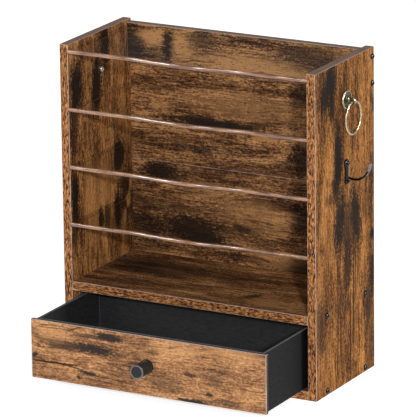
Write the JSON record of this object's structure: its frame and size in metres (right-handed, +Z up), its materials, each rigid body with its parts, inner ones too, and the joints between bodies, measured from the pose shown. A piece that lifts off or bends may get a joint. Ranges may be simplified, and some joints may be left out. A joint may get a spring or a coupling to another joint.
{
  "type": "desk organizer",
  "caption": "Upright board organizer with clear slide-in shelves, a drawer at the bottom, and a ring pull and a hook on each side.",
  "frame": {"origin": "centre of the carcass's footprint, on the underside of the bottom board, where it rests", "axes": "+X to the object's right as seen from its open front, +Y to its rear, +Z up"},
  "size_m": [0.399, 0.2757, 0.39],
  "materials": {
    "rustic_board": "satin printed rustic brown wood laminate with dark grain, streaks and knots",
    "black_fibreboard": "matte black thin fibreboard",
    "acrylic": "clear acrylic sheet with polished edges",
    "antique_brass": "aged brass with darkened recesses",
    "black_steel": "black coated steel",
    "bright_steel": "zinc-plated steel"
  },
  "bodies": {
    "carcass": {"left_side_panel": "rustic_board", "right_side_panel": "rustic_board", "bottom_board": "rustic_board", "drawer_shelf": "rustic_board", "top_back_rail": "rustic_board", "back_panel": "rustic_board", "left_bottom_screw_1": "black_steel", "left_bottom_screw_2": "black_steel", "left_shelf_screw_1": "black_steel", "left_shelf_screw_2": "black_steel", "left_rail_screw_1": "black_steel", "left_rail_screw_2": "black_steel", "right_bottom_screw_1": "black_steel", "right_bottom_screw_2": "black_steel", "right_shelf_screw_1": "black_steel", "right_shelf_screw_2": "black_steel", "right_rail_screw_1": "black_steel", "right_rail_screw_2": "black_steel", "back_pin_1": "bright_steel", "back_pin_2": "bright_steel", "back_pin_3": "bright_steel", "back_pin_4": "bright_steel", "back_pin_5": "bright_steel", "back_pin_6": "bright_steel", "back_pin_7": "bright_steel", "back_pin_8": "bright_steel", "left_ring_rosette": "antique_brass", "left_ring_eye_stud": "antique_brass", "left_ring_nut": "bright_steel", "left_hook": "black_steel", "left_hook_screw_1": "black_steel", "left_hook_screw_2": "black_steel", "right_ring_rosette": "antique_brass", "right_ring_eye_stud": "antique_brass", "right_ring_nut": "bright_steel", "right_hook": "black_steel", "right_hook_screw_1": "black_steel", "right_hook_screw_2": "black_steel"},
    "drawer": {"drawer_front": "rustic_board", "drawer_box_front": "black_fibreboard", "drawer_left_wall": "black_fibreboard", "drawer_right_wall": "black_fibreboard", "drawer_back_wall": "black_fibreboard", "drawer_floor": "black_fibreboard", "drawer_knob": "black_steel", "drawer_knob_screw": "bright_steel", "drawer_front_screw_1": "bright_steel", "drawer_front_screw_2": "bright_steel"},
    "shelf_1": {"acrylic_shelf_1": "acrylic"},
    "shelf_2": {"acrylic_shelf_2": "acrylic"},
    "shelf_3": {"acrylic_shelf_3": "acrylic"},
    "shelf_4": {"acrylic_shelf_4": "acrylic"},
    "left_ring": {"left_pull_ring": "antique_brass"},
    "right_ring": {"right_pull_ring": "antique_brass"}
  },
  "joints": [
    {"name": "drawer_slide", "type": "slide", "parent": "carcass", "child": "drawer", "axis": [0, -1, 0], "range_m": [-0.1, 0.02]},
    {"name": "shelf_1_slide", "type": "slide", "parent": "carcass", "child": "shelf_1", "axis": [0, -1, 0], "range_m": [0, 0.11]},
    {"name": "shelf_2_slide", "type": "slide", "parent": "carcass", "child": "shelf_2", "axis": [0, -1, 0], "range_m": [0, 0.11]},
    {"name": "shelf_3_slide", "type": "slide", "parent": "carcass", "child": "shelf_3", "axis": [0, -1, 0], "range_m": [0, 0.11]},
    {"name": "shelf_4_slide", "type": "slide", "parent": "carcass", "child": "shelf_4", "axis": [0, -1, 0], "range_m": [0, 0.11]},
    {"name": "left_ring_swing", "type": "hinge", "parent": "carcass", "child": "left_ring", "pos_m": [-0.1771, 0.0015, 0.342], "axis": [0, 1, 0], "range_deg": [-10, 190]},
    {"name": "right_ring_swing", "type": "hinge", "parent": "carcass", "child": "right_ring", "pos_m": [0.1771, 0.0015, 0.342], "axis": [0, -1, 0], "range_deg": [-10, 190]}
  ]
}
